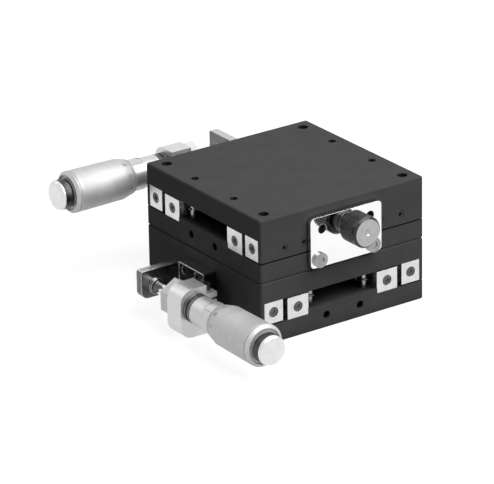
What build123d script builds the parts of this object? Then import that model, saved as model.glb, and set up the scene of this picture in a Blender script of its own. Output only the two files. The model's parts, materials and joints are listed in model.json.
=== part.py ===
from build123d import *
import os

# Two-axis crossed-roller stage: two equal single-axis stages, the upper one turned a quarter
# turn and bolted to the lower one's table. Millimetres, +Z up. Each single stage is drawn with
# its travel along +Y, the micrometer on its -X side and the lock on its +X side.

# ---------------------------------------------------------------- driving dimensions
TABLE_SIZE = 60.0           # across and along the travel
STAGE_HEIGHT = 20.0
BASE_HEIGHT = 6.0
SLAB_THICKNESS = 6.6
SKIRT_WALL = 1.2
PARTING_GAP = 0.45          # base to moving parts
CORNER_CHAMFER = 0.4
EDGE_CHAMFER = 0.4
TRAVEL = 6.5                # each way

LAND_HEIGHT = 1.7           # raised land between the inner rails

INNER_RAIL_WIDTH = 7.6
OUTER_RAIL_WIDTH = 6.8
RAIL_SPACING = 1.7          # between the inner and the outer rail
RAIL_END_INSET = 0.2
RAIL_CHAMFER = 0.3
ROLLER_DIAMETER = 3.0
ROLLER_LENGTH = 2.8
ROLLER_CLEARANCE = 0.03
GROOVE_RELIEF = 0.5
ROLLERS_PER_RAIL = 9
ROLLER_PITCH = 4.6
CAGE_THICKNESS = 0.8
CAGE_END = 2.6              # past the last roller
CAGE_WINDOW_CLEARANCE = 0.1

RAIL_SCREW_PITCH = 12.0
RAIL_SCREW_ROWS = 4
SMALL_HEAD_RADIUS = 2.2     # M2.5 cap screws
SMALL_HEAD_HEIGHT = 2.4
SMALL_SHANK_RADIUS = 1.25
SMALL_SCREW_GRIP = 3.6      # length in the thread
HEAD_CLEARANCE = 0.2
SHANK_CLEARANCE = 0.15
SOCKET_SHARE = 0.55         # hex socket across corners over head radius
SOCKET_DEPTH_SHARE = 0.5

END_PLATE_THICKNESS = 1.4
STOP_HEAD_RADIUS = 1.5
STOP_HEAD_HEIGHT = 0.7
STOP_RECESS = 0.85
STOP_SHANK_RADIUS = 0.8
STOP_GRIP = 3.0

CORNER_HOLE_INSET = 4.5     # from the sides
CORNER_HOLE_RADIUS = 1.65
INNER_HOLE_SHARE = 0.4      # second pattern's short spacing over its long one
INNER_HOLE_RADIUS = 1.25
BASE_HOLE_DEPTH = 4.5
FRONT_HOLE_SPACING = 12.4
FRONT_HOLE_HEIGHT = 4.2
FRONT_HOLE_RADIUS = 1.2
FRONT_HOLE_DEPTH = 6.0

JOIN_HEAD_RADIUS = 2.75
JOIN_HEAD_HEIGHT = 3.0
JOIN_RECESS = 3.3
JOIN_HOLE_RADIUS = 1.6
JOIN_GRIP = 4.0

POST_RADIUS = 0.9
POST_SEAT = 3.0
POST_END_GAP = 0.8          # post end to the wall it faces
BASE_POST_INSET = 3.5       # from the end face
TABLE_POST_INSET = 10.0
SPRING_RADIUS = 1.8
SPRING_WIRE_RADIUS = 0.35
SPRING_BORE_RADIUS = 1.1
SPRING_EYE_CLEARANCE = 0.12
SPRING_MARGIN = 0.95        # coil to the inner rail

PRELOAD_RADIUS = 1.25
PRELOAD_PLACES = (-21.4, -14.2, 14.2, 21.4)
PRELOAD_SINK = 0.15
PRELOAD_SOCKET_RADIUS = 0.75
PRELOAD_SOCKET_DEPTH = 0.7

LOCK_PLATE_WIDTH = 26.0
LOCK_PLATE_BOTTOM = 1.1
LOCK_PLATE_RISE = 3.6       # top edge above the slab's underside
LOCK_PLATE_THICKNESS = 1.5
LOCK_PLATE_GAP = 0.3        # plate to the moving table
LOCK_PLATE_CORNER = 1.3
LOCK_SCREW_SPACING = 19.6
LOCK_SCREW_HEIGHT = 3.5
LOCK_SCREW_HEAD_RADIUS = 2.35
LOCK_SCREW_HEAD_HEIGHT = 0.9
LOCK_SCREW_RADIUS = 1.05
LOCK_SCREW_GRIP = 2.8
LOCK_SPARE_SPACING = 17.6
LOCK_SPARE_RADIUS = 1.45
LOCK_AXIS_DROP = 0.3        # below the slab's underside
LOCK_STEM_RADIUS = 2.0
LOCK_STEM_CLEARANCE = 0.05
LOCK_BOSS_RADIUS = 2.9
LOCK_BOSS_HEIGHT = 1.0
LOCK_TIP_GAP = 0.15
LOCK_HEAD_START = 2.8       # from the plate's face
LOCK_HEAD_LENGTH = 8.0
LOCK_HEAD_RADIUS = 4.9
LOCK_HEAD_CHAMFER = 0.7

MIC_REACH = 13.1            # spindle axis from the table's side
MIC_RISE = 4.9              # spindle axis above the base
SPINDLE_RADIUS = 2.0
SPINDLE_CLEARANCE = 0.05
SPINDLE_TIP = -5.15         # places along the micrometer, measured against the travel
SPINDLE_END = 50.2
SPINDLE_CHAMFER = 0.4
STEM_RADIUS = 4.0
STEM_CLEARANCE = 0.02
NUT_START = 3.9
NUT_ACROSS_FLATS = 10.4
HOLDER_START = 7.4
HOLDER_END = 14.6
COLLAR_END = 18.2
COLLAR_RADIUS = 4.6
COLLAR_GROOVE = 0.4
SLEEVE_RADIUS = 4.65
SLEEVE_STEP = 24.0
SCALE_RADIUS = 5.0
SLEEVE_END = 38.5
THIMBLE_CLEARANCE = 0.1
THIMBLE_START = 28.3
THIMBLE_LIP_RADIUS = 5.45
THIMBLE_BEVEL_END = 32.2
THIMBLE_FRONT_RADIUS = 6.4
THIMBLE_REAR_RADIUS = 6.6
THIMBLE_END = 50.5
THIMBLE_END_CHAMFER = 0.9
THIMBLE_WEB = 1.5
CAP_RADIUS = 4.7
CAP_LENGTH = 4.3
CAP_ROUND = 1.3
CAP_GROOVE_WIDTH = 0.6
CAP_GROOVE_DEPTH = 0.4

HOLDER_OUT = 5.2            # from the spindle axis to the outer side
HOLDER_UP = 6.0             # from the spindle axis to the top
HOLDER_BOTTOM = 1.5
HOLDER_ARM_GAP = 0.4        # to the moving anvil bracket
HOLDER_FOOT_DROP = 0.3      # below the base's top
HOLDER_FOOT_REACH = 10.8    # past the arm's back
HOLDER_TOP_ROUND = 4.2
HOLDER_CORNER_ROUND = 4.0
HOLDER_INNER_ROUND = 2.4
HOLDER_EAR_WIDTH = 3.7
HOLDER_EAR_HEIGHT = 3.2     # above the spindle axis
HOLDER_SLIT = 0.9
HOLDER_SLIT_HEIGHT = 1.1    # above the spindle axis
HOLDER_SCREW_PLACES = (3.2, 8.3)    # past the arm's back
HOLDER_SCREW_HEIGHT = 3.6
HOLDER_SCREW_HEAD_RADIUS = 1.7
HOLDER_SCREW_HEAD_HEIGHT = 1.6
HOLDER_SCREW_RADIUS = 1.0
HOLDER_SCREW_GRIP = 4.5
CLAMP_SCREW_INSET = 1.8     # from the arm's inner side

ANVIL_FOOT_THICKNESS = 4.8
ANVIL_FOOT_START = -6.8     # along the travel
ANVIL_FACE = 6.0
ANVIL_THICKNESS = 2.6
ANVIL_RISE = 3.2            # top above the slab's underside
ANVIL_FOOT_DROP = 4.4       # foot's lower edge below the slab's underside
ANVIL_FLANGE_GAP = 1.9      # free leg above the holder's foot
ANVIL_OUT = 5.4             # from the spindle axis to the outer end
ANVIL_ROUND = 2.4
ANVIL_EDGE_ROUND = 0.8
ANVIL_SCREW_PLACES = (-3.5, 3.1)
ANVIL_SCREW_RISE = 1.3      # above the slab's underside
ANVIL_SCREW_HEAD_RADIUS = 1.25
ANVIL_SCREW_HEAD_HEIGHT = 1.3
ANVIL_SCREW_RADIUS = 0.75
ANVIL_SCREW_GRIP = 4.0
PAD_RADIUS = 2.5
PAD_THICKNESS = 0.8

# ---------------------------------------------------------------- derived places
HALF_SIZE = TABLE_SIZE / 2
CORNER_HOLE_SPACING = TABLE_SIZE - 2 * CORNER_HOLE_INSET
INNER_HOLE_SPACING = INNER_HOLE_SHARE * CORNER_HOLE_SPACING
SLAB_BOTTOM = STAGE_HEIGHT - SLAB_THICKNESS
SKIRT_BOTTOM = BASE_HEIGHT + PARTING_GAP
SKIRT_INSIDE = HALF_SIZE - SKIRT_WALL
LAND_TOP = BASE_HEIGHT + LAND_HEIGHT

OUTER_RAIL_EDGE = SKIRT_INSIDE - OUTER_RAIL_WIDTH
INNER_RAIL_EDGE = OUTER_RAIL_EDGE - RAIL_SPACING
LAND_HALF_WIDTH = INNER_RAIL_EDGE - INNER_RAIL_WIDTH
RAIL_HEIGHT = SLAB_BOTTOM - BASE_HEIGHT - PARTING_GAP
END_PLATE_FACE = HALF_SIZE - RAIL_END_INSET
RAIL_LENGTH = 2 * (END_PLATE_FACE - END_PLATE_THICKNESS)
ROLLER_X = (INNER_RAIL_EDGE + OUTER_RAIL_EDGE) / 2
ROLLER_Z = (BASE_HEIGHT + SLAB_BOTTOM) / 2
GROOVE_SIDE = ROLLER_DIAMETER + 2 * ROLLER_CLEARANCE
GROOVE_REACH = GROOVE_SIDE / 2 ** 0.5 - RAIL_SPACING / 2
INNER_SCREW_X = (LAND_HALF_WIDTH + INNER_RAIL_EDGE - GROOVE_REACH) / 2
OUTER_SCREW_X = (OUTER_RAIL_EDGE + GROOVE_REACH + SKIRT_INSIDE) / 2
RAIL_SCREW_PLACES = [(i - (RAIL_SCREW_ROWS - 1) / 2) * RAIL_SCREW_PITCH for i in range(RAIL_SCREW_ROWS)]
ROLLER_PLACES = [(i - (ROLLERS_PER_RAIL - 1) / 2) * ROLLER_PITCH for i in range(ROLLERS_PER_RAIL)]
CAGE_WINDOW_HEIGHT = (ROLLER_DIAMETER + ROLLER_LENGTH) / 2 ** 0.5 + 2 * CAGE_WINDOW_CLEARANCE
CAGE_HEIGHT = (CAGE_WINDOW_HEIGHT + SLAB_BOTTOM - BASE_HEIGHT) / 2
CAGE_LENGTH = (ROLLERS_PER_RAIL - 1) * ROLLER_PITCH + 2 * CAGE_END

BASE_POST_Y = -(HALF_SIZE - BASE_POST_INSET)
TABLE_POST_Y = HALF_SIZE - TABLE_POST_INSET
SPRING_X = LAND_HALF_WIDTH - SPRING_RADIUS - SPRING_MARGIN
SPRING_Z = (LAND_TOP + SLAB_BOTTOM) / 2
SPRING_EYE_RADIUS = POST_RADIUS + SPRING_EYE_CLEARANCE + SPRING_WIRE_RADIUS

PLATE_INSIDE = HALF_SIZE + LOCK_PLATE_GAP
PLATE_OUTSIDE = PLATE_INSIDE + LOCK_PLATE_THICKNESS
LOCK_PLATE_TOP = SLAB_BOTTOM + LOCK_PLATE_RISE
LOCK_AXIS_HEIGHT = SLAB_BOTTOM - LOCK_AXIS_DROP
LOCK_STEM_HOLE = LOCK_STEM_RADIUS + LOCK_STEM_CLEARANCE

MIC_OFFSET = HALF_SIZE + MIC_REACH
MIC_HEIGHT = BASE_HEIGHT + MIC_RISE
HOLDER_FOOT_TOP = BASE_HEIGHT - HOLDER_FOOT_DROP
ANVIL_TOP = SLAB_BOTTOM + ANVIL_RISE
ANVIL_FOOT_BOTTOM = SLAB_BOTTOM - ANVIL_FOOT_DROP
ANVIL_FLANGE_BOTTOM = HOLDER_FOOT_TOP + ANVIL_FLANGE_GAP
ANVIL_SCREW_HEIGHT = SLAB_BOTTOM + ANVIL_SCREW_RISE
ANVIL_FOOT_SIDE = HALF_SIZE + ANVIL_FOOT_THICKNESS
HOLDER_INSIDE = ANVIL_FOOT_SIDE + HOLDER_ARM_GAP
HOLDER_TOP = MIC_HEIGHT + HOLDER_UP
EAR_TOP = MIC_HEIGHT + HOLDER_EAR_HEIGHT
CLAMP_SCREW_X = -(HOLDER_INSIDE + CLAMP_SCREW_INSET)
HOLDER_SCREW_SEAT = HOLDER_INSIDE - HOLDER_SCREW_HEAD_HEIGHT
HOLDER_SCREW_LENGTH = HOLDER_SCREW_SEAT - HALF_SIZE + HOLDER_SCREW_GRIP
SPINDLE_BORE = SPINDLE_RADIUS + SPINDLE_CLEARANCE
STEM_BORE = STEM_RADIUS + STEM_CLEARANCE
SMALL_CLEARANCE_HOLE = SMALL_SHANK_RADIUS + SHANK_CLEARANCE

# drawing planes: across the travel, and lengthwise through the micrometer's axis
ACROSS = Plane.XZ
MIC_ORIGIN = (-MIC_OFFSET, 0, MIC_HEIGHT)
MIC_PLANE = Plane(origin=MIC_ORIGIN, x_dir=(0, -1, 0), z_dir=(0, 0, -1))
MIC_AXIS = Axis(MIC_ORIGIN, (0, -1, 0))


def facing(place, direction):
    """A plane at a place that looks along a direction; holes are drilled against it."""
    return Plane(origin=place, z_dir=direction)


def both_sides(x, places):
    """The same places along the travel on the left and right."""
    return [(side * x, y) for side in (-1, 1) for y in places]


def corners(x, y):
    return [(sx * x, sy * y) for sx in (-1, 1) for sy in (-1, 1)]


def socket_screws(planes, head_radius, head_height, shank_radius, length):
    """Cap screws whose heads rest on the planes and whose shanks run against their normals."""
    with BuildPart() as screws:
        for plane in planes:
            with BuildSketch(plane):
                Circle(head_radius)
            extrude(amount=head_height)
            with BuildSketch(plane):
                Circle(shank_radius)
            extrude(amount=-length)
            with BuildSketch(plane.offset(head_height)):
                RegularPolygon(head_radius * SOCKET_SHARE, 6)
            extrude(amount=-head_height * SOCKET_DEPTH_SHARE, mode=Mode.SUBTRACT)
    return screws


def turned(points):
    """A solid turned about the micrometer's axis from (place, radius) points."""
    with BuildPart() as solid:
        with BuildSketch(MIC_PLANE):
            with BuildLine():
                Polyline(*points, close=True)
            make_face()
        revolve(axis=MIC_AXIS)
    return solid


# ---------------------------------------------------------------- base, table and rails
def base():
    with BuildPart() as piece:
        with BuildSketch():
            Rectangle(TABLE_SIZE, TABLE_SIZE)
        extrude(amount=BASE_HEIGHT)
        chamfer(piece.edges().filter_by(Axis.Z), CORNER_CHAMFER)
        chamfer(piece.faces().sort_by(Axis.Z)[0].edges(), EDGE_CHAMFER)
        with BuildSketch(Plane.XY.offset(BASE_HEIGHT)):
            Rectangle(2 * LAND_HALF_WIDTH, TABLE_SIZE)
        extrude(amount=LAND_HEIGHT)
        bottom = facing((0, 0, 0), (0, 0, -1))
        with Locations(bottom):
            with GridLocations(CORNER_HOLE_SPACING, CORNER_HOLE_SPACING, 2, 2):
                Hole(CORNER_HOLE_RADIUS, BASE_HOLE_DEPTH)
            with GridLocations(CORNER_HOLE_SPACING, INNER_HOLE_SPACING, 2, 2):
                Hole(INNER_HOLE_RADIUS, BASE_HOLE_DEPTH)
        with Locations(Plane.XY.offset(BASE_HEIGHT)):
            with Locations(*both_sides(INNER_SCREW_X, RAIL_SCREW_PLACES)):
                Hole(SMALL_SHANK_RADIUS, SMALL_SCREW_GRIP)
        with Locations(Plane.XY.offset(LAND_TOP)):
            with Locations(*both_sides(SPRING_X, [BASE_POST_Y])):
                Hole(POST_RADIUS, POST_SEAT)
        for x in (-FRONT_HOLE_SPACING / 2, FRONT_HOLE_SPACING / 2):
            with Locations(facing((x, -HALF_SIZE, FRONT_HOLE_HEIGHT), (0, -1, 0))):
                Hole(FRONT_HOLE_RADIUS, FRONT_HOLE_DEPTH)
        for y in (-LOCK_SCREW_SPACING / 2, LOCK_SCREW_SPACING / 2):
            with Locations(facing((HALF_SIZE, y, LOCK_SCREW_HEIGHT), (1, 0, 0))):
                Hole(LOCK_SCREW_RADIUS, LOCK_SCREW_GRIP)
        for place in HOLDER_SCREW_PLACES:
            spot = (-HALF_SIZE, place - HOLDER_START, HOLDER_SCREW_HEIGHT)
            with Locations(facing(spot, (-1, 0, 0))):
                Hole(HOLDER_SCREW_RADIUS, HOLDER_SCREW_GRIP)
    return piece


def table(joined_above):
    """The moving table; the lower one carries the counterbored screws that hold the upper base."""
    with BuildPart() as piece:
        with BuildSketch(Plane.XY.offset(SLAB_BOTTOM)):
            Rectangle(TABLE_SIZE, TABLE_SIZE)
        extrude(amount=SLAB_THICKNESS)
        with BuildSketch(Plane.XY.offset(SKIRT_BOTTOM)):
            for side in (-1, 1):
                with Locations((side * (HALF_SIZE - SKIRT_WALL / 2), 0)):
                    Rectangle(SKIRT_WALL, TABLE_SIZE)
        extrude(amount=SLAB_BOTTOM - SKIRT_BOTTOM)
        outer_corners = [e for e in piece.edges().filter_by(Axis.Z) if abs(e.center().X) > HALF_SIZE - EDGE_CHAMFER]
        chamfer(outer_corners, CORNER_CHAMFER)
        chamfer(piece.faces().sort_by(Axis.Z)[-1].edges(), EDGE_CHAMFER)
        with Locations(Plane.XY.offset(STAGE_HEIGHT)):
            with GridLocations(CORNER_HOLE_SPACING, CORNER_HOLE_SPACING, 2, 2):
                Hole(CORNER_HOLE_RADIUS, SLAB_THICKNESS)
        below = facing((0, 0, SLAB_BOTTOM), (0, 0, -1))
        with Locations(below):
            with GridLocations(INNER_HOLE_SPACING, CORNER_HOLE_SPACING, 2, 2):
                if joined_above:
                    CounterBoreHole(JOIN_HOLE_RADIUS, JOIN_HEAD_RADIUS + SHANK_CLEARANCE, JOIN_RECESS, SLAB_THICKNESS)
                else:
                    Hole(INNER_HOLE_RADIUS, SLAB_THICKNESS)
            with Locations(*both_sides(OUTER_SCREW_X, RAIL_SCREW_PLACES)):
                Hole(SMALL_SHANK_RADIUS, SMALL_SCREW_GRIP)
        for side in (-1, 1):
            with Locations(facing((side * SPRING_X, TABLE_POST_Y, SLAB_BOTTOM), (0, 0, -1))):
                Hole(POST_RADIUS, POST_SEAT)
        for y in PRELOAD_PLACES:
            with Locations(facing((HALF_SIZE, y, ROLLER_Z), (1, 0, 0))):
                Hole(PRELOAD_RADIUS, SKIRT_WALL)
        for y in ANVIL_SCREW_PLACES:
            with Locations(facing((-HALF_SIZE, y, ANVIL_SCREW_HEIGHT), (-1, 0, 0))):
                Hole(ANVIL_SCREW_RADIUS, ANVIL_SCREW_GRIP)
    return piece


def rails(near, far, bottom, screw_x, screws_from):
    """A pair of ground rails with facing V grooves, recessed fixing screws and tapped ends."""
    middle = (near + far) / 2
    groove_side = 1 if middle < ROLLER_X else -1
    screw_face = bottom + RAIL_HEIGHT if screws_from > 0 else bottom
    with BuildPart() as piece:
        with BuildSketch(ACROSS) as section:
            with Locations((middle, bottom + RAIL_HEIGHT / 2)):
                Rectangle(far - near, RAIL_HEIGHT)
            chamfer(section.vertices(), RAIL_CHAMFER)
            with Locations((ROLLER_X, ROLLER_Z)):
                Rectangle(GROOVE_SIDE, GROOVE_SIDE, rotation=45, mode=Mode.SUBTRACT)
            with Locations((ROLLER_X - groove_side * (GROOVE_REACH + RAIL_SPACING / 2), ROLLER_Z)):
                Rectangle(GROOVE_RELIEF, GROOVE_RELIEF, mode=Mode.SUBTRACT)
        extrude(amount=RAIL_LENGTH / 2, both=True)
        for y in RAIL_SCREW_PLACES:
            with Locations(facing((screw_x, y, screw_face), (0, 0, screws_from))):
                CounterBoreHole(
                    SMALL_CLEARANCE_HOLE,
                    SMALL_HEAD_RADIUS + SHANK_CLEARANCE,
                    SMALL_HEAD_HEIGHT + HEAD_CLEARANCE,
                    RAIL_HEIGHT,
                )
        for end in (-1, 1):
            with Locations(facing((middle, end * RAIL_LENGTH / 2, bottom + RAIL_HEIGHT / 2), (0, end, 0))):
                Hole(STOP_SHANK_RADIUS, STOP_GRIP)
        mirror(about=Plane.YZ)
    return piece


def end_plates(near, far, bottom):
    """Square plates on the ends of a pair of rails, which keep the roller cages in."""
    middle = (near + far) / 2
    height = bottom + RAIL_HEIGHT / 2
    with BuildPart() as piece:
        for end in (-1, 1):
            outside = facing((middle, end * END_PLATE_FACE, height), (0, end, 0))
            with Locations((middle, end * (END_PLATE_FACE - END_PLATE_THICKNESS / 2), height)):
                Box(far - near, END_PLATE_THICKNESS, RAIL_HEIGHT)
            with Locations(outside):
                CounterBoreHole(
                    STOP_SHANK_RADIUS,
                    STOP_HEAD_RADIUS + SHANK_CLEARANCE,
                    STOP_RECESS,
                    END_PLATE_THICKNESS,
                )
        mirror(about=Plane.YZ)
    return piece


def inner_end_plates():
    return end_plates(LAND_HALF_WIDTH, INNER_RAIL_EDGE, BASE_HEIGHT)


def outer_end_plates():
    return end_plates(OUTER_RAIL_EDGE, SKIRT_INSIDE, SKIRT_BOTTOM)


def inner_rails():
    return rails(LAND_HALF_WIDTH, INNER_RAIL_EDGE, BASE_HEIGHT, INNER_SCREW_X, 1)


def outer_rails():
    return rails(OUTER_RAIL_EDGE, SKIRT_INSIDE, SKIRT_BOTTOM, OUTER_SCREW_X, -1)


def rail_screws(x, seat, direction):
    seats = [facing((px, y, seat), (0, 0, direction)) for px, y in both_sides(x, RAIL_SCREW_PLACES)]
    length = RAIL_HEIGHT - SMALL_HEAD_HEIGHT - HEAD_CLEARANCE + SMALL_SCREW_GRIP
    return socket_screws(seats, SMALL_HEAD_RADIUS, SMALL_HEAD_HEIGHT, SMALL_SHANK_RADIUS, length)


def inner_rail_screws():
    seat = BASE_HEIGHT + RAIL_HEIGHT - SMALL_HEAD_HEIGHT - HEAD_CLEARANCE
    return rail_screws(INNER_SCREW_X, seat, 1)


def outer_rail_screws():
    seat = SKIRT_BOTTOM + SMALL_HEAD_HEIGHT + HEAD_CLEARANCE
    return rail_screws(OUTER_SCREW_X, seat, -1)


def stop_screws(near, far, bottom):
    """Short screws through the middles of the end plates."""
    middle = (near + far) / 2
    height = bottom + RAIL_HEIGHT / 2
    seat_y = END_PLATE_FACE - STOP_RECESS
    seats = [facing((x, y, height), (0, y / seat_y, 0)) for x, y in corners(middle, seat_y)]
    length = END_PLATE_THICKNESS - STOP_RECESS + STOP_GRIP
    return socket_screws(seats, STOP_HEAD_RADIUS, STOP_HEAD_HEIGHT, STOP_SHANK_RADIUS, length)


def inner_stop_screws():
    return stop_screws(LAND_HALF_WIDTH, INNER_RAIL_EDGE, BASE_HEIGHT)


def outer_stop_screws():
    return stop_screws(OUTER_RAIL_EDGE, SKIRT_INSIDE, SKIRT_BOTTOM)


def roller_cages():
    window_width = ROLLER_DIAMETER + 2 * CAGE_WINDOW_CLEARANCE
    with BuildPart() as piece:
        with BuildSketch(Plane.YZ.offset(ROLLER_X)):
            with Locations((0, ROLLER_Z)):
                Rectangle(CAGE_LENGTH, CAGE_HEIGHT)
            with Locations(*[(y, ROLLER_Z) for y in ROLLER_PLACES]):
                Rectangle(window_width, CAGE_WINDOW_HEIGHT, mode=Mode.SUBTRACT)
        extrude(amount=CAGE_THICKNESS / 2, both=True)
        mirror(about=Plane.YZ)
    return piece


def rollers():
    """Cylinders laid crosswise by turns, each leaning 45 degrees the other way."""
    with BuildPart() as piece:
        for index, y in enumerate(ROLLER_PLACES):
            lean = 45 if index % 2 else -45
            with Locations((ROLLER_X, y, ROLLER_Z)):
                Cylinder(ROLLER_DIAMETER / 2, ROLLER_LENGTH, rotation=(0, lean, 0))
        mirror(about=Plane.YZ)
    return piece


# ---------------------------------------------------------------- return springs
def base_spring_posts():
    with BuildPart() as piece:
        with BuildSketch(Plane.XY.offset(LAND_TOP - POST_SEAT)):
            with Locations(*both_sides(SPRING_X, [BASE_POST_Y])):
                Circle(POST_RADIUS)
        extrude(amount=SLAB_BOTTOM - POST_END_GAP - LAND_TOP + POST_SEAT)
    return piece


def table_spring_posts():
    with BuildPart() as piece:
        with BuildSketch(Plane.XY.offset(LAND_TOP + POST_END_GAP)):
            with Locations(*both_sides(SPRING_X, [TABLE_POST_Y])):
                Circle(POST_RADIUS)
        extrude(amount=SLAB_BOTTOM + POST_SEAT - LAND_TOP - POST_END_GAP)
    return piece


def return_springs():
    """Tension springs drawn as close-wound coils, each with an eye round its two posts."""
    reach = SPRING_EYE_RADIUS + SPRING_WIRE_RADIUS / 2
    coil_start = BASE_POST_Y + reach
    coil_end = TABLE_POST_Y - reach
    with BuildPart() as piece:
        with BuildSketch(Plane.XZ.offset(-coil_start)):
            with Locations((SPRING_X, SPRING_Z)):
                Circle(SPRING_RADIUS)
                Circle(SPRING_BORE_RADIUS, mode=Mode.SUBTRACT)
        extrude(amount=coil_start - coil_end)
        for y in (BASE_POST_Y, TABLE_POST_Y):
            with Locations((SPRING_X, y, SPRING_Z)):
                Torus(SPRING_EYE_RADIUS, SPRING_WIRE_RADIUS)
        for y, direction in ((coil_start, 1), (coil_end, -1)):
            with BuildSketch(facing((SPRING_X, y, SPRING_Z), (0, direction, 0))):
                Circle(SPRING_RADIUS)
            extrude(amount=SPRING_WIRE_RADIUS)
        mirror(about=Plane.YZ)
    return piece


# ---------------------------------------------------------------- preload and lock
def preload_screws():
    with BuildPart() as piece:
        for y in PRELOAD_PLACES:
            outside = facing((HALF_SIZE - PRELOAD_SINK, y, ROLLER_Z), (1, 0, 0))
            with BuildSketch(outside):
                Circle(PRELOAD_RADIUS)
            extrude(amount=-(SKIRT_WALL - PRELOAD_SINK))
            with BuildSketch(outside):
                RegularPolygon(PRELOAD_SOCKET_RADIUS, 6)
            extrude(amount=-PRELOAD_SOCKET_DEPTH, mode=Mode.SUBTRACT)
    return piece


def lock_plate():
    """A plate held by the base that stands clear of the table and carries the lock's thread."""
    height = LOCK_PLATE_TOP - LOCK_PLATE_BOTTOM
    with BuildPart() as piece:
        with BuildSketch(Plane.YZ.offset(PLATE_INSIDE)):
            with Locations((0, LOCK_PLATE_BOTTOM + height / 2)):
                RectangleRounded(LOCK_PLATE_WIDTH, height, LOCK_PLATE_CORNER)
        extrude(amount=LOCK_PLATE_THICKNESS)
        foot_height = BASE_HEIGHT - LOCK_PLATE_BOTTOM - PARTING_GAP
        with BuildSketch(Plane.YZ.offset(HALF_SIZE)):
            with Locations((0, LOCK_PLATE_BOTTOM + foot_height / 2)):
                RectangleRounded(LOCK_PLATE_WIDTH - 2 * LOCK_PLATE_CORNER, foot_height, EDGE_CHAMFER)
        extrude(amount=LOCK_PLATE_GAP)
        with BuildSketch(Plane.YZ.offset(PLATE_OUTSIDE)):
            with Locations((0, LOCK_AXIS_HEIGHT)):
                Circle(LOCK_BOSS_RADIUS)
        extrude(amount=LOCK_BOSS_HEIGHT)
        thickness = LOCK_PLATE_GAP + LOCK_PLATE_THICKNESS + LOCK_BOSS_HEIGHT
        with Locations(facing((PLATE_OUTSIDE + LOCK_BOSS_HEIGHT, 0, LOCK_AXIS_HEIGHT), (1, 0, 0))):
            Hole(LOCK_STEM_HOLE, thickness)
        for side in (-1, 1):
            with Locations(facing((PLATE_OUTSIDE, side * LOCK_SCREW_SPACING / 2, LOCK_SCREW_HEIGHT), (1, 0, 0))):
                Hole(LOCK_SCREW_RADIUS + SHANK_CLEARANCE, thickness)
            with Locations(facing((PLATE_OUTSIDE, side * LOCK_SPARE_SPACING / 2, LOCK_AXIS_HEIGHT), (1, 0, 0))):
                Hole(LOCK_SPARE_RADIUS, thickness)
    return piece


def lock_plate_screws():
    seats = [
        facing((PLATE_OUTSIDE, side * LOCK_SCREW_SPACING / 2, LOCK_SCREW_HEIGHT), (1, 0, 0)) for side in (-1, 1)
    ]
    length = PLATE_OUTSIDE - HALF_SIZE + LOCK_SCREW_GRIP
    return socket_screws(seats, LOCK_SCREW_HEAD_RADIUS, LOCK_SCREW_HEAD_HEIGHT, LOCK_SCREW_RADIUS, length)


def lock_knob():
    tip = HALF_SIZE + LOCK_TIP_GAP
    head_start = PLATE_OUTSIDE + LOCK_HEAD_START
    with BuildPart() as piece:
        with BuildSketch(Plane.YZ.offset(tip)):
            with Locations((0, LOCK_AXIS_HEIGHT)):
                Circle(LOCK_STEM_RADIUS)
        extrude(amount=head_start - tip)
        with BuildSketch(Plane.YZ.offset(head_start)):
            with Locations((0, LOCK_AXIS_HEIGHT)):
                Circle(LOCK_HEAD_RADIUS)
        extrude(amount=LOCK_HEAD_LENGTH)
        rims = piece.edges().filter_by(GeomType.CIRCLE).filter_by(lambda e: abs(e.radius - LOCK_HEAD_RADIUS) < 0.01)
        chamfer(rims, LOCK_HEAD_CHAMFER)
    return piece


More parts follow.
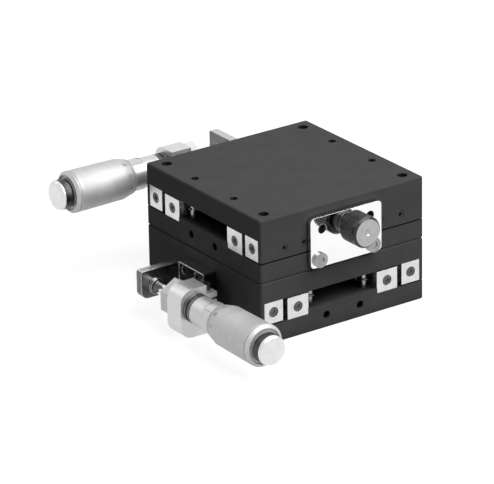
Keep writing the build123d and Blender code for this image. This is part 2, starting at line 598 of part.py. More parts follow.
# ---------------------------------------------------------------- micrometer
def micrometer_holder():
    """A split clamp on a foot that is screwed to the base's side."""
    out_x = -(MIC_OFFSET + HOLDER_OUT)
    arm_x = -HOLDER_INSIDE
    ear_x = arm_x - HOLDER_EAR_WIDTH
    with BuildPart() as piece:
        with BuildSketch(ACROSS.offset(HOLDER_START)) as arm:
            with BuildLine():
                Polyline(
                    (out_x, HOLDER_BOTTOM),
                    (arm_x, HOLDER_BOTTOM),
                    (arm_x, EAR_TOP),
                    (ear_x, EAR_TOP),
                    (ear_x, HOLDER_TOP),
                    (out_x, HOLDER_TOP),
                    close=True,
                )
            make_face()
            outer_top, inner_top = arm.vertices().sort_by(Axis.Y)[-2:].sort_by(Axis.X)
            fillet(outer_top, HOLDER_TOP_ROUND)
            fillet(inner_top, HOLDER_INNER_ROUND)
            fillet(arm.vertices().sort_by(Axis.Y)[:2].sort_by(Axis.X)[0], HOLDER_CORNER_ROUND)
        extrude(amount=HOLDER_END - HOLDER_START)
        foot_length = HOLDER_END - HOLDER_START + HOLDER_FOOT_REACH
        with BuildSketch(ACROSS.offset(HOLDER_START - HOLDER_FOOT_REACH)):
            with Locations((-(HALF_SIZE + HOLDER_INSIDE) / 2, (HOLDER_BOTTOM + HOLDER_FOOT_TOP) / 2)):
                Rectangle(HOLDER_INSIDE - HALF_SIZE, HOLDER_FOOT_TOP - HOLDER_BOTTOM)
        extrude(amount=foot_length)
        with Locations(facing((-MIC_OFFSET, -HOLDER_END, MIC_HEIGHT), (0, -1, 0))):
            Hole(STEM_BORE, HOLDER_END - HOLDER_START)
        slit_z = MIC_HEIGHT + HOLDER_SLIT_HEIGHT
        with BuildSketch(ACROSS.offset(HOLDER_START)):
            with Locations(((arm_x - MIC_OFFSET) / 2, slit_z)):
                Rectangle(MIC_OFFSET + arm_x, HOLDER_SLIT)
        extrude(amount=HOLDER_END - HOLDER_START, mode=Mode.SUBTRACT)
        with Locations(facing((CLAMP_SCREW_X, -(HOLDER_START + HOLDER_END) / 2, EAR_TOP), (0, 0, 1))):
            Hole(HOLDER_SCREW_RADIUS, HOLDER_SCREW_LENGTH)
        for place in HOLDER_SCREW_PLACES:
            spot = (-HOLDER_INSIDE, place - HOLDER_START, HOLDER_SCREW_HEIGHT)
            with Locations(facing(spot, (-1, 0, 0))):
                CounterBoreHole(
                    HOLDER_SCREW_RADIUS + SHANK_CLEARANCE,
                    HOLDER_SCREW_HEAD_RADIUS + SHANK_CLEARANCE,
                    HOLDER_SCREW_HEAD_HEIGHT,
                    HOLDER_INSIDE - HALF_SIZE,
                )
    return piece


def holder_screws():
    """Three equal screws: two hold the foot and one closes the clamp."""
    seats = [
        facing((-HOLDER_SCREW_SEAT, place - HOLDER_START, HOLDER_SCREW_HEIGHT), (-1, 0, 0))
        for place in HOLDER_SCREW_PLACES
    ]
    seats.append(facing((CLAMP_SCREW_X, -(HOLDER_START + HOLDER_END) / 2, EAR_TOP), (0, 0, 1)))
    return socket_screws(
        seats, HOLDER_SCREW_HEAD_RADIUS, HOLDER_SCREW_HEAD_HEIGHT, HOLDER_SCREW_RADIUS, HOLDER_SCREW_LENGTH
    )


def micrometer_nut():
    with BuildPart() as piece:
        with BuildSketch(ACROSS.offset(NUT_START)):
            with Locations((-MIC_OFFSET, MIC_HEIGHT)):
                RegularPolygon(NUT_ACROSS_FLATS / 2, 6, major_radius=False, rotation=30)
                Circle(STEM_BORE, mode=Mode.SUBTRACT)
        extrude(amount=HOLDER_START - NUT_START)
    return piece


def micrometer_collar():
    middle = (HOLDER_END + COLLAR_END) / 2
    groove = COLLAR_RADIUS - COLLAR_GROOVE
    return turned([
        (HOLDER_END, STEM_BORE),
        (HOLDER_END, COLLAR_RADIUS),
        (middle - COLLAR_GROOVE, COLLAR_RADIUS),
        (middle - COLLAR_GROOVE, groove),
        (middle + COLLAR_GROOVE, groove),
        (middle + COLLAR_GROOVE, COLLAR_RADIUS),
        (COLLAR_END, COLLAR_RADIUS),
        (COLLAR_END, STEM_BORE),
    ])


def micrometer_sleeve():
    return turned([
        (NUT_START, SPINDLE_BORE),
        (NUT_START, STEM_RADIUS),
        (COLLAR_END, STEM_RADIUS),
        (COLLAR_END, SLEEVE_RADIUS),
        (SLEEVE_STEP, SLEEVE_RADIUS),
        (SLEEVE_STEP, SCALE_RADIUS),
        (SLEEVE_END, SCALE_RADIUS),
        (SLEEVE_END, SPINDLE_BORE),
    ])


def spindle():
    return turned([
        (SPINDLE_TIP, 0),
        (SPINDLE_TIP, SPINDLE_RADIUS - SPINDLE_CHAMFER),
        (SPINDLE_TIP + SPINDLE_CHAMFER, SPINDLE_RADIUS),
        (SPINDLE_END, SPINDLE_RADIUS),
        (SPINDLE_END, 0),
    ])


def thimble():
    inside = SCALE_RADIUS + THIMBLE_CLEARANCE
    return turned([
        (THIMBLE_START, inside),
        (THIMBLE_START, THIMBLE_LIP_RADIUS),
        (THIMBLE_BEVEL_END, THIMBLE_FRONT_RADIUS),
        (THIMBLE_END - THIMBLE_END_CHAMFER, THIMBLE_REAR_RADIUS),
        (THIMBLE_END, THIMBLE_REAR_RADIUS - THIMBLE_END_CHAMFER),
        (THIMBLE_END, SPINDLE_BORE),
        (THIMBLE_END - THIMBLE_WEB, SPINDLE_BORE),
        (THIMBLE_END - THIMBLE_WEB, inside),
    ])


def thimble_cap():
    end = THIMBLE_END + CAP_LENGTH
    groove_start = THIMBLE_END + CAP_GROOVE_WIDTH
    groove_end = groove_start + CAP_GROOVE_WIDTH
    cap = turned([
        (THIMBLE_END, 0),
        (THIMBLE_END, CAP_RADIUS),
        (groove_start, CAP_RADIUS),
        (groove_start, CAP_RADIUS - CAP_GROOVE_DEPTH),
        (groove_end, CAP_RADIUS - CAP_GROOVE_DEPTH),
        (groove_end, CAP_RADIUS),
        (end, CAP_RADIUS),
        (end, 0),
    ])
    with BuildPart() as piece:
        add(cap.part)
        fillet(piece.faces().sort_by(MIC_AXIS)[-1].edges(), CAP_ROUND)
    return piece


# ---------------------------------------------------------------- anvil on the table
def anvil_bracket():
    """An angle on the table's side; the spindle pushes the round pad on its free leg."""
    out_x = -(MIC_OFFSET + ANVIL_OUT)
    with BuildPart() as piece:
        with BuildSketch(ACROSS.offset(-ANVIL_FACE)) as leg:
            with Locations(((out_x - HALF_SIZE) / 2, (ANVIL_FLANGE_BOTTOM + ANVIL_TOP) / 2)):
                Rectangle(-HALF_SIZE - out_x, ANVIL_TOP - ANVIL_FLANGE_BOTTOM)
            fillet(leg.vertices().sort_by(Axis.X)[:2].sort_by(Axis.Y)[0], ANVIL_ROUND)
            fillet(leg.vertices().sort_by(Axis.Y)[-2:].sort_by(Axis.X)[0], ANVIL_EDGE_ROUND)
        extrude(amount=-ANVIL_THICKNESS)
        with BuildSketch(Plane.YZ.offset(-HALF_SIZE)) as foot:
            foot_length = ANVIL_FACE - ANVIL_FOOT_START
            with Locations(((ANVIL_FACE + ANVIL_FOOT_START) / 2, (ANVIL_FOOT_BOTTOM + ANVIL_TOP) / 2)):
                Rectangle(foot_length, ANVIL_TOP - ANVIL_FOOT_BOTTOM)
            fillet(foot.vertices().sort_by(Axis.X)[:2], ANVIL_EDGE_ROUND)
        extrude(amount=-ANVIL_FOOT_THICKNESS)
        for y in ANVIL_SCREW_PLACES:
            with Locations(facing((-ANVIL_FOOT_SIDE, y, ANVIL_SCREW_HEIGHT), (-1, 0, 0))):
                CounterBoreHole(
                    ANVIL_SCREW_RADIUS + SHANK_CLEARANCE,
                    ANVIL_SCREW_HEAD_RADIUS + SHANK_CLEARANCE,
                    ANVIL_SCREW_HEAD_HEIGHT,
                    ANVIL_FOOT_THICKNESS,
                )
        with BuildSketch(ACROSS.offset(-ANVIL_FACE)):
            with Locations((-MIC_OFFSET, MIC_HEIGHT)):
                Circle(PAD_RADIUS)
        extrude(amount=PAD_THICKNESS)
    return piece


def anvil_screws():
    seat_x = -(ANVIL_FOOT_SIDE - ANVIL_SCREW_HEAD_HEIGHT)
    seats = [facing((seat_x, y, ANVIL_SCREW_HEIGHT), (-1, 0, 0)) for y in ANVIL_SCREW_PLACES]
    length = -seat_x - HALF_SIZE + ANVIL_SCREW_GRIP
    return socket_screws(
        seats, ANVIL_SCREW_HEAD_RADIUS, ANVIL_SCREW_HEAD_HEIGHT, ANVIL_SCREW_RADIUS, length
    )


# ---------------------------------------------------------------- between the two stages
def joining_screws():
    seat_z = SLAB_BOTTOM + JOIN_RECESS
    seats = [
        facing((x, y, seat_z), (0, 0, -1)) for x, y in corners(INNER_HOLE_SPACING / 2, CORNER_HOLE_SPACING / 2)
    ]
    length = SLAB_THICKNESS - JOIN_RECESS + JOIN_GRIP
    return socket_screws(seats, JOIN_HEAD_RADIUS, JOIN_HEAD_HEIGHT, INNER_HOLE_RADIUS, length)


# ---------------------------------------------------------------- both stages
SAME_PIECES = {
    "base": base,
    "inner_rails": inner_rails,
    "outer_rails": outer_rails,
    "inner_rail_screws": inner_rail_screws,
    "outer_rail_screws": outer_rail_screws,
    "inner_end_plates": inner_end_plates,
    "outer_end_plates": outer_end_plates,
    "inner_stop_screws": inner_stop_screws,
    "outer_stop_screws": outer_stop_screws,
    "roller_cages": roller_cages,
    "rollers": rollers,
    "return_springs": return_springs,
    "base_spring_posts": base_spring_posts,
    "table_spring_posts": table_spring_posts,
    "preload_screws": preload_screws,
    "lock_plate": lock_plate,
    "lock_plate_screws": lock_plate_screws,
    "lock_knob": lock_knob,
    "micrometer_holder": micrometer_holder,
    "holder_screws": holder_screws,
    "micrometer_nut": micrometer_nut,
    "micrometer_collar": micrometer_collar,
    "micrometer_sleeve": micrometer_sleeve,
    "spindle": spindle,
    "thimble": thimble,
    "thimble_cap": thimble_cap,
    "anvil_bracket": anvil_bracket,
    "anvil_screws": anvil_screws,
}
LOWER = Location((0, 0, 0))
UPPER = Location((0, 0, STAGE_HEIGHT), (0, 0, -90))


def export(piece, label, place):
    piece.part = piece.part.moved(place)
    piece.part.label = label
    export_step(piece.part, f"parts/{label}.step")


os.makedirs("parts", exist_ok=True)
for stage, place in (("lower", LOWER), ("upper", UPPER)):
    export(table(joined_above=stage == "lower"), f"{stage}_table", place)
    for name, make in SAME_PIECES.items():
        export(make(), f"{stage}_{name}", place)
export(joining_screws(), "joining_screws", LOWER)
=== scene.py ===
# %% [markdown]
# # Dressing a two-axis crossed-roller stage
#
# Two equal linear stages are stacked, the upper one turned a quarter turn. Each has a black
# table on ground steel rails, a side micrometer that pushes it, and a lock knob that holds it.
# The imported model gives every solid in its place, so this lesson adds what solids can't say:
# how each metal was finished, where the scales are engraved, how the springs are wound.

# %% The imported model
import bpy
import json
import math
from mathutils import Matrix, Vector


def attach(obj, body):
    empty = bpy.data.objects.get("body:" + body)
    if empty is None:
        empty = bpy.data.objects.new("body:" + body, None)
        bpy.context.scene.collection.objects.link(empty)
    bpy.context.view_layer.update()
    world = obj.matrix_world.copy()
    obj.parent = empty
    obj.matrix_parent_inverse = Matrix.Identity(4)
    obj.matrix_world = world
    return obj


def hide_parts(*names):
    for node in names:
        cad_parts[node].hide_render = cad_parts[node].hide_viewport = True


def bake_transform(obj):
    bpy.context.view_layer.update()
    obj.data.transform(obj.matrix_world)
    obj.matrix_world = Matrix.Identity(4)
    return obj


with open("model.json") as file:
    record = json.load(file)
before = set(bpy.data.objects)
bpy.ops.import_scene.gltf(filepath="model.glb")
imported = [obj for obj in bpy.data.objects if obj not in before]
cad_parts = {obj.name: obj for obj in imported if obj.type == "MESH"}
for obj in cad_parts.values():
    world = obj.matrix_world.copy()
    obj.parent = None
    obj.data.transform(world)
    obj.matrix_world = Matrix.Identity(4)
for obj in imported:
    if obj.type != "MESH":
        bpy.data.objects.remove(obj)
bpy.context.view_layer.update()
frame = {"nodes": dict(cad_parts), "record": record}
nodes = frame["nodes"]

# %% [markdown]
# ## Where each stage stands
# Both stages are drawn once, with the travel along +Y, and the upper one is the same drawing
# lifted 20 mm and turned a quarter turn. Keeping that one drawing means that every engraved
# line and coil below is written once and used twice. Sizes are in millimetres until they are
# handed to Blender, which works in metres.

# %% Stage places
MM = 0.001
STAGE_HEIGHT = 20.0
PLACES = {
    "lower": Matrix.Identity(4),
    "upper": Matrix.Translation((0, 0, STAGE_HEIGHT * MM)) @ Matrix.Rotation(math.radians(-90), 4, "Z"),
}
CARRIERS = {"lower": "lower_base", "upper": "lower_table"}
print({stage: [round(v * 1000) for v in place.translation] for stage, place in PLACES.items()})

# %% [markdown]
# ## The camera
# A long lens from well away keeps the edges of the stacked squares nearly parallel. The
# camera is placed by its angles round the middle of the stack and its distance in metres. It
# is aimed a little below and to the left of the middle, by millimetres, because both
# micrometers stick out on that side.

# %% Camera
AZIMUTH, ELEVATION, ROLL = (math.radians(a) for a in (-35.188, 22.366, -0.844))
DISTANCE = 1.2416
AIM_LEFT, AIM_DOWN = 11.42, 3.505
LENS, SENSOR = 297.7, 36
MIDDLE = Vector((0, 0, STAGE_HEIGHT * MM))
back = Vector((
    math.sin(AZIMUTH) * math.cos(ELEVATION),
    -math.cos(AZIMUTH) * math.cos(ELEVATION),
    math.sin(ELEVATION),
))
level = Vector((math.cos(AZIMUTH), math.sin(AZIMUTH), 0))
upright = back.cross(level)
sideways = level * math.cos(ROLL) + upright * math.sin(ROLL)
upright = upright * math.cos(ROLL) - level * math.sin(ROLL)
eye = MIDDLE + back * DISTANCE
aim = MIDDLE - sideways * AIM_LEFT * MM - upright * AIM_DOWN * MM
print("eye at", [round(v, 3) for v in eye], "aimed at", [round(v, 3) for v in aim])

# %% [markdown]
# The camera looks along its own -Z with its Y up, so its turn is the matrix whose columns are
# the picture's right, the picture's up and the line back to the eye. The view transform is
# Standard, so that a colour comes out about as it is written.

# %% The camera in its place
camera = bpy.data.objects.new("camera", bpy.data.cameras.new("camera"))
bpy.context.collection.objects.link(camera)
camera.data.lens = LENS
camera.data.sensor_width = SENSOR
away = (eye - aim).normalized()
across = upright.cross(away).normalized()
turn = Matrix((across, away.cross(across), away)).transposed()
camera.matrix_world = Matrix.Translation(eye) @ turn.to_4x4()
bpy.context.scene.camera = camera
bpy.context.scene.view_settings.view_transform = "Standard"
print("lens", LENS, "mm")

# %% [markdown]
# ## Floor and light
# Black anodising only looks black when little light comes back from the floor, while plated
# parts need a white room to mirror. Light Path tells the two apart: rays that the eye or a
# mirror sends find white, and the soft light that fills shadows finds a dim grey. One large
# soft lamp over the front right gives the faces their order, top, front, side, and a weak one
# round the back lets the left side fade towards the front corner.

# %% White to the eye, dim to the fill light
WHITE = (1, 1, 1, 1)
FILL = 0.05


def seen_or_mirrored(tree):
    """1 for camera, glossy and transmitted rays, 0 for the rest."""
    path = tree.nodes.new("ShaderNodeLightPath")
    first = tree.nodes.new("ShaderNodeMath")
    first.operation = "MAXIMUM"
    tree.links.new(path.outputs["Is Camera Ray"], first.inputs[0])
    tree.links.new(path.outputs["Is Glossy Ray"], first.inputs[1])
    both = tree.nodes.new("ShaderNodeMath")
    both.operation = "MAXIMUM"
    tree.links.new(first.outputs[0], both.inputs[0])
    tree.links.new(path.outputs["Is Transmission Ray"], both.inputs[1])
    return both.outputs[0]


print("rays told apart by", seen_or_mirrored.__name__)

# %% The room
world = bpy.data.worlds.new("room")
bpy.context.scene.world = world
world.use_nodes = True
tree = world.node_tree
tree.nodes.clear()
dim = tree.nodes.new("ShaderNodeBackground")
dim.inputs["Color"].default_value = WHITE
dim.inputs["Strength"].default_value = FILL
bright = tree.nodes.new("ShaderNodeBackground")
bright.inputs["Color"].default_value = WHITE
bright.inputs["Strength"].default_value = 1.0
choose = tree.nodes.new("ShaderNodeMixShader")
out = tree.nodes.new("ShaderNodeOutputWorld")
tree.links.new(seen_or_mirrored(tree), choose.inputs[0])
tree.links.new(dim.outputs[0], choose.inputs[1])
tree.links.new(bright.outputs[0], choose.inputs[2])
tree.links.new(choose.outputs[0], out.inputs[0])
print("world set, fill", FILL)

# %% [markdown]
# The floor is white paper that glows nearly to white by itself. The lamp adds the rest, so
# that the little light missing under the part is still seen as a faint shadow. The light that
# bounces up from it is that of a mid grey, which leaves the black sides black.

# %% A pale floor that keeps the shadow
FLOOR_HALF = 3.0
FLOOR_DROP = 0.2 * MM
PAPER, PAPER_GLOW, PAPER_BOUNCE = 0.35, 0.87, 0.32
floor_mesh = bpy.data.meshes.new("floor")
floor_mesh.from_pydata(
    [(x * FLOOR_HALF, y * FLOOR_HALF, 0) for x, y in ((-1, -1), (1, -1), (1, 1), (-1, 1))],
    [], [(0, 1, 2, 3)],
)
floor = bpy.data.objects.new("floor", floor_mesh)
floor.location.z = -FLOOR_DROP
bpy.context.collection.objects.link(floor)
print("floor", 2 * FLOOR_HALF, "m square")

# %% The paper
paper = bpy.data.materials.new("paper")
paper.use_nodes = True
tree = paper.node_tree
tree.nodes.clear()
lit = tree.nodes.new("ShaderNodeBsdfDiffuse")
lit.inputs["Color"].default_value = (PAPER, PAPER, PAPER, 1)
glow = tree.nodes.new("ShaderNodeEmission")
glow.inputs["Color"].default_value = WHITE
glow.inputs["Strength"].default_value = PAPER_GLOW
both = tree.nodes.new("ShaderNodeAddShader")
bounce = tree.nodes.new("ShaderNodeBsdfDiffuse")
bounce.inputs["Color"].default_value = (PAPER_BOUNCE, PAPER_BOUNCE, PAPER_BOUNCE, 1)
choose = tree.nodes.new("ShaderNodeMixShader")
out = tree.nodes.new("ShaderNodeOutputMaterial")
tree.links.new(lit.outputs[0], both.inputs[0])
tree.links.new(glow.outputs[0], both.inputs[1])
tree.links.new(seen_or_mirrored(tree), choose.inputs[0])
tree.links.new(bounce.outputs[0], choose.inputs[1])
tree.links.new(both.outputs[0], choose.inputs[2])
tree.links.new(choose.outputs[0], out.inputs[0])
floor_mesh.materials.append(paper)
print("paper:", len(tree.nodes), "nodes")

# %% Two soft lamps
LAMPS = {
    "key": ((0.25, -0.55, 0.85), 1.3, 13.5),
    "side": ((-0.30, 0.55, 0.45), 0.4, 0.25),
}


def soft_lamp(name, place, size, power):
    """A round lamp at a place in metres, turned to the middle of the stack."""
    lamp = bpy.data.objects.new(name, bpy.data.lights.new(name, "AREA"))
    lamp.data.shape = "DISK"
    lamp.data.size = size
    lamp.data.energy = power
    lamp.location = place
    lamp.rotation_mode = "QUATERNION"
    lamp.rotation_quaternion = (Vector(place) - MIDDLE).to_track_quat("Z", "Y")
    bpy.context.collection.objects.link(lamp)


for name, settings in LAMPS.items():
    soft_lamp(name, *settings)
print("lamps:", ", ".join(LAMPS))

# %% [markdown]
# ## Finishes
# All the metals share one recipe: a base colour that varies slightly in broad blotches, a
# roughness that varies more, and a bump at the true size of the tool marks. The noise is
# read in object space, so the marks ride with each part, and stretching it along one
# direction turns grains into grinding lines. A Bevel node rounds the edges for the light
# alone, which catches a highlight there without more faces.

# %% Tool marks
NOISE_BAND = (0.3, 0.7)


def marks(tree, size, stretch=(1, 1, 1), detail=3.0):
    """Noise whose features are about size millimetres, drawn out by stretch."""
    place = tree.nodes.new("ShaderNodeTexCoord")
    scale = tree.nodes.new("ShaderNodeMapping")
    scale.inputs["Scale"].default_value = [1 / (size * MM * s) for s in stretch]
    noise = tree.nodes.new("ShaderNodeTexNoise")
    noise.inputs["Scale"].default_value = 1.0
    noise.inputs["Detail"].default_value = detail
    tree.links.new(place.outputs["Object"], scale.inputs["Vector"])
    tree.links.new(scale.outputs["Vector"], noise.inputs["Vector"])
    return noise.outputs["Fac"]


def spread(tree, value, start, end, low, high):
    """Maps start to low and end to high, and keeps what lies beyond at those."""
    ruler = tree.nodes.new("ShaderNodeMapRange")
    ruler.inputs["From Min"].default_value = start
    ruler.inputs["From Max"].default_value = end
    ruler.inputs["To Min"].default_value = low
    ruler.inputs["To Max"].default_value = high
    tree.links.new(value, ruler.inputs["Value"])
    return ruler.outputs["Result"]


def shade(tree, factor, dark, light):
    """A colour that runs from dark to light over the middle of a noise."""
    ramp = tree.nodes.new("ShaderNodeValToRGB")
    for element, place, colour in zip(ramp.color_ramp.elements, NOISE_BAND, (dark, light)):
        element.position = place
        element.color = (*colour, 1)
    tree.links.new(factor, ramp.inputs["Fac"])
    return ramp.outputs["Color"]


def grey(value):
    return (value, value, value)


print("noise is read between", NOISE_BAND)

# %% The shared recipe


def finish(name, dark, light, roughness, metallic=1.0, size=0.3, stretch=(1, 1, 1), depth=0.004,
           blotch=2.5, edge=0.12, specular=0.5):
    """A metal finish; size, depth, blotch and edge are in millimetres."""
    material = bpy.data.materials.new(name)
    material.use_nodes = True
    tree = material.node_tree
    shader = tree.nodes["Principled BSDF"]
    shader.inputs["Metallic"].default_value = metallic
    shader.inputs["Specular IOR Level"].default_value = specular
    fine = marks(tree, size, stretch)
    broad = marks(tree, blotch, detail=4.0)
    tree.links.new(shade(tree, broad, dark, light), shader.inputs["Base Color"])
    tree.links.new(spread(tree, fine, *NOISE_BAND, *roughness), shader.inputs["Roughness"])
    soften = tree.nodes.new("ShaderNodeBevel")
    soften.samples = 4
    soften.inputs["Radius"].default_value = edge * MM
    bump = tree.nodes.new("ShaderNodeBump")
    bump.inputs["Distance"].default_value = depth * MM
    bump.inputs["Strength"].default_value = 1.0
    tree.links.new(fine, bump.inputs["Height"])
    tree.links.new(soften.outputs["Normal"], bump.inputs["Normal"])
    tree.links.new(bump.outputs["Normal"], shader.inputs["Normal"])
    return material


def lay_over(material, factor, colour):
    """Lays a colour over the base colour where the factor is 1."""
    tree = material.node_tree
    shader = tree.nodes["Principled BSDF"]
    mix = tree.nodes.new("ShaderNodeMix")
    mix.data_type = "RGBA"
    under = shader.inputs["Base Color"].links[0].from_socket
    tree.links.new(factor, mix.inputs["Factor"])
    tree.links.new(under, mix.inputs[6])
    mix.inputs[7].default_value = (*colour, 1)
    tree.links.new(mix.outputs[2], shader.inputs["Base Color"])


print("helpers:", finish.__name__, lay_over.__name__)

# %% [markdown]
# ### Edges and hollows
# Two things are laid over the colour. A coating is thinner on sharp edges, so the metal shows
# through as a paler line, which on the blued bracket is partly a painted highlight: the
# rounded normal of the Bevel node differs from the true one just there. And narrow slots,
# bores and faces close to other parts get painted shade, darker than an open face: the
# Ambient Occlusion node finds those. Neither touches the mesh.

# %% Pale edges and painted shade in hollows
EDGE_TURN = (0.98, 0.80)
EDGE_PATCH, EDGE_PATCH_SIZE = (0.4, 1.0), 1.2
CLOSED_IN = (0.25, 0.65)
# The colour of the painted shade laid into hollows.
PAINTED_SHADE = 0.004


def pale_edges(material, colour, amount):
    """Lays a paler colour over the edges, patchily, as handling wears them; on the blued bracket it is
    also a painted highlight.
    """
    tree = material.node_tree
    rounded = next(n for n in tree.nodes if n.bl_idname == "ShaderNodeBevel")
    true_face = tree.nodes.new("ShaderNodeNewGeometry")
    compare = tree.nodes.new("ShaderNodeVectorMath")
    compare.operation = "DOT_PRODUCT"
    tree.links.new(rounded.outputs["Normal"], compare.inputs[0])
    tree.links.new(true_face.outputs["Normal"], compare.inputs[1])
    patches = tree.nodes.new("ShaderNodeMath")
    patches.operation = "MULTIPLY"
    worn = spread(tree, compare.outputs["Value"], *EDGE_TURN, 0.0, amount)
    patchy = spread(tree, marks(tree, EDGE_PATCH_SIZE), *NOISE_BAND, *EDGE_PATCH)
    tree.links.new(worn, patches.inputs[0])
    tree.links.new(patchy, patches.inputs[1])
    lay_over(material, patches.outputs[0], colour)


def dark_hollows(material, reach, left):
    """Paints shade over what faces within reach millimetres close in, down to the share left."""
    tree = material.node_tree
    open_sky = tree.nodes.new("ShaderNodeAmbientOcclusion")
    open_sky.samples = 8
    open_sky.inputs["Distance"].default_value = reach * MM
    covered = spread(tree, open_sky.outputs["AO"], *CLOSED_IN, 1.0 - left, 0.0)
    lay_over(material, covered, grey(PAINTED_SHADE))


print("edges turn between", EDGE_TURN, "and hollows close between", CLOSED_IN)

# %% [markdown]
# ### Black anodising
# The plates are blasted before they are anodised, so the black has a fine grain and no
# direction, and hardly any shine.

# %% Black anodising
FINISHES = {"black_anodised": finish(
    "black_anodised", grey(0.074), grey(0.084), (0.42, 0.58), metallic=0.0,
    size=0.16, depth=0.005, blotch=6.0, edge=0.18, specular=0.02,
)}
pale_edges(FINISHES["black_anodised"], grey(0.13), 0.3)
# Painted shade in the slots, bores and corners of the black parts, and on faces near other parts.
dark_hollows(FINISHES["black_anodised"], 9.0, 0.12)
print("anodised:", len(FINISHES["black_anodised"].node_tree.nodes), "nodes")

# %% [markdown]
# ### Steel and brass
# A rail mostly shows its ground ends, so its marks are drawn out upright, along Z. Rollers and
# the spindle are lapped nearly to a mirror. Screws are black, dark or bare steel, and the
# cages are punched from brass strip.

# %% Steel and brass


def add_metal(name, dark, light, roughness, **tool):
    """Files a grey metal under its name."""
    FINISHES[name] = finish(name, grey(dark), grey(light), roughness, **tool)


add_metal("ground_steel", 0.58, 0.68, (0.24, 0.36), size=0.08, stretch=(1, 1, 12), depth=0.003)
add_metal("black_screw", 0.025, 0.045, (0.30, 0.45), metallic=0.4, size=0.12, depth=0.004)
add_metal("steel_screw", 0.08, 0.13, (0.26, 0.38), metallic=0.8, size=0.12, depth=0.004)
add_metal("bright_screw", 0.26, 0.34, (0.22, 0.34), size=0.10, stretch=(1, 1, 6))
add_metal("roller_steel", 0.74, 0.80, (0.10, 0.16), size=0.10, depth=0.001)
add_metal("polished_steel", 0.72, 0.78, (0.08, 0.14), size=0.10, depth=0.001)
add_metal("spring_steel", 0.10, 0.16, (0.25, 0.35), size=0.10)
add_metal("dark_collar", 0.10, 0.14, (0.25, 0.35), size=0.12)
FINISHES["cage_brass"] = finish(
    "cage_brass", (0.50, 0.38, 0.17), (0.60, 0.47, 0.23), (0.28, 0.40), size=0.12, stretch=(1, 8, 1),
)
print("finishes so far:", ", ".join(FINISHES))

# %% [markdown]
# ### Bright plate and blued plate
# The lock plate is plated sheet and nearly a mirror. The anvil bracket is blued after its
# flat sides are ground. Its faces that point up get a painted highlight from the lamp above,
# and its pale edges are partly wear and partly a painted highlight. Nothing turns the
# bracket over, so the upward part of the normal finds those faces.

# %% Bright plate and blued plate
# Faces of the bracket that point up get a painted highlight between these turns of the normal.
TOP_HIGHLIGHT_UP = (0.7, 0.9)
TOP_HIGHLIGHT_SHARE = 0.9

add_metal("plated_plate", 0.79, 0.83, (0.05, 0.09), size=2.5, depth=0.003, blotch=8.0, edge=0.15)
add_metal("blued_plate", 0.10, 0.14, (0.16, 0.26), size=0.10, stretch=(1, 6, 1), depth=0.002, edge=0.5)
# The bracket's pale edges are partly wear and partly a painted highlight.
pale_edges(FINISHES["blued_plate"], grey(0.75), 0.9)
tree = FINISHES["blued_plate"].node_tree
facing = tree.nodes.new("ShaderNodeNewGeometry")
parts = tree.nodes.new("ShaderNodeSeparateXYZ")
tree.links.new(facing.outputs["True Normal"], parts.inputs[0])
# Painted highlight on the upward faces, paler the more the true normal points up.
upward = spread(tree, parts.outputs["Z"], *TOP_HIGHLIGHT_UP, 0.0, TOP_HIGHLIGHT_SHARE)
lay_over(FINISHES["blued_plate"], upward, grey(0.6))
print("blued plate:", len(tree.nodes), "nodes")

# %% [markdown]
# ### Micrometer and knob
# A micrometer's thimble and sleeve are chromed over a fine blasted ground, which gives a
# satin shine that glare can't hide the scale in. The sleeve is a little paler than the
# thimble. The holder is plain machined aluminium, and the knobs are dark round the rim.

# %% Satin chrome, aluminium and the knob's two finishes
add_metal("sleeve_chrome", 0.64, 0.69, (0.34, 0.44), metallic=0.65, size=0.10, depth=0.002)
add_metal("satin_chrome", 0.55, 0.60, (0.52, 0.62), metallic=0.65, size=0.10, depth=0.002)
add_metal("holder_aluminium", 0.70, 0.76, (0.30, 0.42), metallic=0.7, size=0.14, depth=0.003)
add_metal("knob_face", 0.36, 0.42, (0.28, 0.38), size=0.12, depth=0.002)
add_metal("knob_nickel", 0.035, 0.055, (0.20, 0.30), size=0.10, stretch=(1, 1, 8), depth=0.002)
print(len(FINISHES), "finishes")

# %% Hand every solid its finish
OWN_FINISH = {
    "anvil_bracket": "blued_plate",
    "micrometer_sleeve": "sleeve_chrome",
    "inner_stop_screws": "steel_screw",
    "outer_stop_screws": "steel_screw",
}
slots = {part["node"]: part["material_slot"] for part in frame["record"]["subparts"]}
for name, piece in nodes.items():
    kind = name.split("_", 1)[1]
    piece.data.materials.clear()
    piece.data.materials.append(FINISHES[OWN_FINISH.get(kind, slots[name])])
print(len(slots), "solids finished")

# %% [markdown]
# ## Pieces made in the stage's own drawing
# Each new piece is a list of points in millimetres in the stage's drawing. One helper turns
# the points into the right stage's place and makes the mesh. Another smooths what is round
# and keeps corners sharp, which a shell turned on a lathe needs, and a third lets the piece
# ride on its body.

# %% The piece maker
CREASE = math.radians(32)


def draw_piece(name, points, faces, stage, material):
    """A mesh from points in the stage's drawing, with flat faces."""
    mesh = bpy.data.meshes.new(name)
    mesh.from_pydata([PLACES[stage] @ (Vector(p) * MM) for p in points], [], faces)
    mesh.materials.append(material)
    piece = bpy.data.objects.new(name, mesh)
    bpy.context.collection.objects.link(piece)
    return piece


def smooth_over(piece, crease=None):
    """Shades a piece round, apart from edges that turn more than the crease angle."""
    mesh = piece.data
    mesh.polygons.foreach_set("use_smooth", [True] * len(mesh.polygons))
    if crease is not None:
        mesh.set_sharp_from_angle(angle=crease)


def make_piece(name, points, faces, stage, body, material, smooth=True):
    """A piece that rides on a body, smoothed unless it is a flat patch."""
    piece = draw_piece(name, points, faces, stage, material)
    if smooth:
        smooth_over(piece, CREASE)
    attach(piece, body)
    return piece


